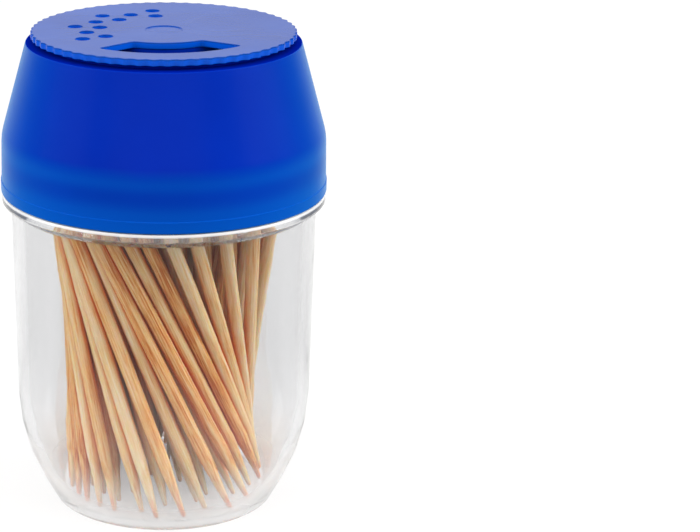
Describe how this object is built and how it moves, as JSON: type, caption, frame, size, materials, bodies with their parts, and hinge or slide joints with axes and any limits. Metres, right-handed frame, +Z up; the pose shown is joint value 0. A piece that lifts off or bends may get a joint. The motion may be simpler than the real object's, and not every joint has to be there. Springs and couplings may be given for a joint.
{
  "type": "toothpick dispenser",
  "caption": "Clear round jar of toothpicks with a push-on cap and a turning dial that has a pour slot and sprinkle holes.",
  "frame": {"origin": "on the jar's axis, in the plane of its foot ring", "axes": "+Z up the axis towards the dial; -Y is the front, where the dial's pour slot is at rest"},
  "size_m": [0.05, 0.05, 0.0746],
  "materials": {
    "jar": "clear, polished",
    "cap": "smooth moulded, slightly translucent",
    "dial": "smooth moulded",
    "toothpick": "bare bamboo, lightly tumbled"
  },
  "bodies": {
    "jar": {"jar": "jar"},
    "cap": {"cap": "cap"},
    "dial": {"dial": "dial"},
    "toothpicks": {"toothpick_01": "toothpick", "toothpick_02": "toothpick", "toothpick_03": "toothpick", "toothpick_04": "toothpick", "toothpick_05": "toothpick", "toothpick_06": "toothpick", "toothpick_07": "toothpick", "toothpick_08": "toothpick", "toothpick_09": "toothpick", "toothpick_10": "toothpick", "toothpick_11": "toothpick", "toothpick_12": "toothpick", "toothpick_13": "toothpick", "toothpick_14": "toothpick", "toothpick_15": "toothpick", "toothpick_16": "toothpick", "toothpick_17": "toothpick", "toothpick_18": "toothpick", "toothpick_19": "toothpick", "toothpick_20": "toothpick", "toothpick_21": "toothpick", "toothpick_22": "toothpick", "toothpick_23": "toothpick", "toothpick_24": "toothpick", "toothpick_25": "toothpick", "toothpick_26": "toothpick", "toothpick_27": "toothpick", "toothpick_28": "toothpick", "toothpick_29": "toothpick", "toothpick_30": "toothpick", "toothpick_31": "toothpick", "toothpick_32": "toothpick", "toothpick_33": "toothpick", "toothpick_34": "toothpick", "toothpick_35": "toothpick", "toothpick_36": "toothpick", "toothpick_37": "toothpick", "toothpick_38": "toothpick", "toothpick_39": "toothpick", "toothpick_40": "toothpick", "toothpick_41": "toothpick", "toothpick_42": "toothpick", "toothpick_43": "toothpick", "toothpick_44": "toothpick", "toothpick_45": "toothpick", "toothpick_46": "toothpick", "toothpick_47": "toothpick", "toothpick_48": "toothpick", "toothpick_49": "toothpick", "toothpick_50": "toothpick", "toothpick_51": "toothpick", "toothpick_52": "toothpick", "toothpick_53": "toothpick", "toothpick_54": "toothpick", "toothpick_55": "toothpick", "toothpick_56": "toothpick", "toothpicks_middle": "toothpick"}
  },
  "joints": [
    {"name": "cap_lift", "type": "slide", "parent": "jar", "child": "cap", "axis": [0, 0, 1], "range_m": [0, 0.03]},
    {"name": "dial_turn", "type": "hinge", "parent": "cap", "child": "dial", "pos_m": [0, 0, 0.0735], "axis": [0, 0, 1], "continuous": true},
    {"name": "toothpicks_slide", "type": "slide", "parent": "jar", "child": "toothpicks", "axis": [0, 0, 1], "range_m": [0, 0.0032]}
  ]
}
